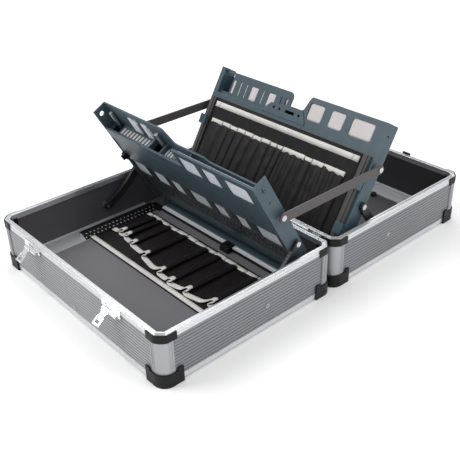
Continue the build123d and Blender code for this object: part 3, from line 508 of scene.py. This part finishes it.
# ---------------------------------------------------------------- tool board on the floor of the front shell
board_low, board_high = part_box("tool_board")
pad_low, pad_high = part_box("tool_board_sleeves")
board_top = board_high.z
sleeve_thickness = 0.0007
crests = [-158, -138, -108, -57, 6, 42, 86, 142, 176]
mouth_line = ((-183, -175), (-146, -176), (-109, -184), (-77, -189), (-19, -203), (10, -206), (47, -211),
              (74, -208), (95, -210), (126, -206), (145, -200), (183, -196))
mouth_lean = 10.5
sleeve_gap, band_gap = 0.0009, 0.0019


def mouth_y(x, lift):
    """The mouths of the sleeves run forward to the right, and lean back as they rise (lift is 0 to 1)."""
    for (x0, y0), (x1, y1) in zip(mouth_line, mouth_line[1:]):
        if x <= x1 * MM or x1 == mouth_line[-1][0]:
            t = (x / MM - x0) / (x1 - x0)
            return (y0 + (y1 - y0) * t + mouth_lean * lift) * MM


def sleeve_profile(tops, left, right, height, tuck):
    """The line of the row of sleeves across the board: low and wide, up over a crest and tucked under it."""
    line = [(left, 0.0)]
    foot = left
    for i, c in enumerate(tops):
        c = c * MM
        h = height * (0.88 + 0.12 * math.sin(2.1 * i + 0.5))
        gap = c - foot
        line += [(foot + 0.35 * gap, 0.04 * h), (foot + 0.68 * gap, 0.16 * h), (c - 0.0080, 0.50 * h),
                 (c - 0.0030, 0.90 * h), (c + 0.0025, h), (c + 0.0060, 0.84 * h), (c + 0.0052, 0.58 * h),
                 (c + 0.0052 - tuck, 0.34 * h), (c + 0.0040 - tuck, 0.12 * h), (c + 0.0062 - 0.5 * tuck, 0.0)]
        foot = c + 0.0062 - 0.5 * tuck
    line += [((foot + right) / 2, 0.0004), (right, 0.0)]
    return curve_through(line, 5)


def fade(v):
    """How much of the mouth's height is left at v of the way to the back of the sleeves."""
    return (1 - v) ** 0.8


def tool_board():
    cover = slab("tool_board_cover", ground, (board_low.x, board_high.x), (board_low.y, board_high.y),
                 (board_low.z, board_top), board_black, "front_shell", rough=0.0003)
    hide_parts("tool_board")

    left, right, back_y = pad_low.x, pad_high.x, pad_high.y
    height = pad_high.z - board_top - 0.001
    mouth = sleeve_profile(crests, left, right, height, 0.0050)
    back = sleeve_profile(crests, left, right, 0.0040, 0.0012)
    rows = []
    steps = 26
    for j in range(steps + 1):
        v = j / steps
        keep = fade(v)
        row = []
        for (xm, zm), (xb, zb) in zip(mouth, back):
            x = xm * (1 - v) + xb * v
            y = mouth_y(xm, zm / height) * (1 - v) + back_y * v
            z = board_top + sleeve_gap + zm * keep + zb * (1 - keep)
            z += 0.0007 * math.sin(math.pi * v) * wander((x * 3, y, 0), 60, 4)
            row.append((x, y, z))
        rows.append(row)
    sleeves = grid("tool_board_sleeve_row", rows, sleeve_black, "front_shell", sleeve_thickness, 1.0)
    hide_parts("tool_board_sleeves")
    band = mouth_band(mouth, back, back_y, height)
    tool_board_strips()


def mouth_band(mouth, back, back_y, height):
    """The ivory elastic sewn over the mouths of the sleeves."""
    width, overhang = 0.0105, 0.0008
    rows = []
    for j in range(5):
        row = []
        for (xm, zm), (xb, zb) in zip(mouth, back):
            y = mouth_y(xm, zm / height)
            v = max(0.0, (width - overhang) * j / 4 / (back_y - y))
            keep = fade(v)
            z = board_top + band_gap + zm * keep + zb * (1 - keep)
            row.append((xm * (1 - v) + xb * v, y - overhang + width * j / 4, z))
        rows.append(row)
    band = grid("tool_board_mouth_band", rows, ivory, "front_shell", 0.0014, -1.0)
    return band


def tool_board_strips():
    """The ivory strip along the front of the board, and the one behind the sleeves, stitched in puffs."""
    low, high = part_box("tool_board_trims")
    front_strip = slab("tool_board_front_strip", ground, (low.x, high.x), (low.y, low.y + 0.010),
                       (board_top, board_top + 0.0014), ivory, "front_shell", 0.0008, rough=0.0002, seed=3,
                       step=0.004)
    stitches = [low.x + 0.004] + [-0.171 + 0.0283 * i for i in range(13)] + [high.x - 0.004]
    for i, (a, b) in enumerate(zip(stitches, stitches[1:])):
        sag = 0.0012 * math.sin(1.7 * i)
        puff = slab("tool_board_back_strip_%d" % i, ground, (a + 0.0005, b - 0.0005),
                    (pad_high.y - 0.001 + sag, pad_high.y + 0.0095 + sag), (board_top, board_top + 0.0022),
                    ivory, "front_shell", 0.0011, 0.0007, 0.0002, i, 0.003)
    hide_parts("tool_board_trims")


# ---------------------------------------------------------------- pocket board on the rear pallet
pocket_edges = [-186, -152, -128, -106, -83, -60, -36, -12, 7, 22, 79, 98, 176]
pocket_low, pocket_high, pocket_base = 0.034, 0.146, 0.0044
wide_pocket = 40


def pocket_swell(wide, t, v):
    """How far a pocket stands off the board, at t across it and v up it; a wide one has folds."""
    height = (0.0046 if wide < wide_pocket else 0.0052) * min(1, 4 * t * (1 - t)) ** 0.45
    if wide > wide_pocket:
        height *= 0.72 + 0.28 * math.cos(2 * math.pi * t * round(wide / 22) + 1.4 * v)
    return height * (0.55 + 0.45 * math.sin(math.pi * min(1, 0.15 + 0.85 * v)) ** 0.6)


def pocket_board():
    cover = slab("pocket_board_cover", rear_face, (-0.196, 0.196), (0.008, 0.192), (0.0002, 0.004),
                 board_black, "rear_pallet", rough=0.0003, seed=5)
    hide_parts("pocket_board")

    line = []
    for a, b in zip(pocket_edges, pocket_edges[1:]):
        count = 14 if b - a < wide_pocket else 40
        line += [(a + (b - a) * s / count, a, b - a, s / count) for s in range(count)]
    line.append((pocket_edges[-1], pocket_edges[-2], 20, 1.0))
    rows = []
    steps = 30
    for j in range(steps + 1):
        v = j / steps
        row = []
        for x, a, wide, t in line:
            lean = -0.010 * (1 - v) * (0.6 + 0.4 * math.sin(0.05 * a))
            crease = 0.0006 * wander((x * MM * 2.2, v * 0.12, 0), 55, 9)
            lift = pocket_base + max(0.0, pocket_swell(wide, t, v) + crease)
            row.append(rear_face.point(x * MM + lean, pocket_low + (pocket_high - pocket_low) * v, lift))
        rows.append(row)
    sleeves = grid("pocket_sleeve_row", rows, sleeve_black, "rear_pallet", sleeve_thickness, 1.0)
    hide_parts("pocket_sleeves")
    bands = pocket_bands()
    pocket_strips()


def pocket_bands():
    """The ivory band along the mouths of the pockets, sewn down between them."""
    bands = []
    for i, (a, b) in enumerate(zip(pocket_edges, pocket_edges[1:])):
        fold = a + (b - a) * 0.38
        spans = [(a, b)] if b - a < 60 else [(a, fold), (fold, b)]
        for k, (c, d) in enumerate(spans):
            gap = 0.0011 if k == 0 else 0.0003
            tilt = 0.0006 * math.sin(2.3 * i + k)
            band = slab("pocket_mouth_band_%d_%d" % (i, k), rear_face, (c * MM + gap, d * MM - 0.0004),
                        (pocket_high - 0.006 + tilt, pocket_high + 0.004 + tilt),
                        (pocket_base - 0.0002, pocket_base + 0.0028), ivory, "rear_pallet", 0.0011, 0.0011,
                        0.0002, i, 0.003)
            bands.append(band)
    return bands


def pocket_strips():
    """The ivory strips above and below the pockets."""
    top, bottom = (0.1745, 0.1855), (0.022, 0.033)
    strips = (("pocket_top_strip_left", (-0.191, -0.178), top),
              ("pocket_top_strip", (-0.1774, 0.177), top),
              ("pocket_top_strip_right", (0.1776, 0.191), top),
              ("pocket_bottom_strip", (-0.191, 0.176), bottom),
              ("pocket_bottom_strip_right", (0.1766, 0.191), bottom))
    for i, (name, x, up) in enumerate(strips):
        strip = slab(name, rear_face, x, up, (0.004, 0.0056), ivory, "rear_pallet", 0.0008, 0.0, 0.0002, i,
                     0.004)
    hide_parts("pocket_trims")


# ---------------------------------------------------------------- felts in the windows
upper_windows = ((28, 72), (88, 122), (144, 196))
lower_windows = ((-213, -168), (-147, -107), (-90, -59), (-34, 16), (34, 67), (92, 121), (144, 197))
back_windows = ((-146, -122), (-106, -88))
comb_slots = [(-181 + 9.5 * i, -175 + 9.5 * i) for i in range(10)]
comb_slots += [(-45 + 7.6 * i, -40.4 + 7.6 * i) for i in range(4)]
rear_windows = ((42.2, 77), (94, 127), (144, 194))
rear_sunk = ((-177.5, -171), (-156, -153.4), (-138.4, -135.8), (-123.5, -104), (-90, -87.4), (-73.5, -54.5))


# Each felt: name, spans along the case, height up the face, depth from the face, corner radius (mm), finish.
front_felts = (
    ("front_felt_upper", upper_windows, (207.2, 244.8), (-4.2, -0.8), 3.8, grey_felt),
    ("front_felt_lower", lower_windows, (82.2, 119.8), (-9.2, -6.4), 2.8, grey_felt),
    ("front_felt_back", back_windows, (208, 244), (-26.7, -24.7), 0, grey_felt),
    ("front_felt_comb", comb_slots, (202.6, 205.7), (-21.8, -8.2), 0, pale_felt),
)
rear_felts = (
    ("rear_felt_right", rear_windows, (213.2, 245.3), (-3.2, -0.6), 4.8, pale_felt),
    ("rear_felt_sunk", rear_sunk, (209.2, 237.3), (-11.2, -8.3), 0, pale_felt),
    ("rear_felt_notch", ((-44.5, -18),), (226.2, 240.5), (-12.4, -11.1), 0, pale_felt),
)
front_backings = (
    ("front_backing_upper", ((26, 213),), (207, 250), (-7, -4.2), 0, grey_felt),
    ("front_backing_lower", ((-213, 213),), (76, 125), (-12, -9.2), 0, grey_felt),
)
rear_backings = (
    ("rear_backing_right", ((44.5, 198),), (206, 250), (-6, -3.2), 0, pale_felt),
    ("rear_backing_sunk", ((-179.5, -49),), (206, 240), (-14, -11.2), 0, pale_felt),
)


def felts():
    """A pad for every window or slot, and the sheets that back them."""
    pallets = ((front_felts, front_face, "front_pallet"), (rear_felts, rear_face, "rear_pallet"),
               (front_backings, front_face, "front_pallet"), (rear_backings, rear_face, "rear_pallet"))
    clearance = 0.2
    sets = [(face, body, *one) for group, face, body in pallets for one in group]
    for i, (face, body, name, spans, up, out, corner, finish) in enumerate(sets):
        for k, span in enumerate(spans):
            x = ((span[0] + clearance) * MM, (span[1] - clearance) * MM)
            piece = slab("%s_%d" % (name, k), face, x, (up[0] * MM, up[1] * MM), (out[0] * MM, out[1] * MM),
                         finish, body, 0.0005, 0.0, 0.0003, i + 3 * k, 0.003, corner * MM)
    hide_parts("front_pallet_felts")
    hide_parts("rear_pallet_felts")


tool_board()
pocket_board()
felts()
camera()
studio()
paper_floor()
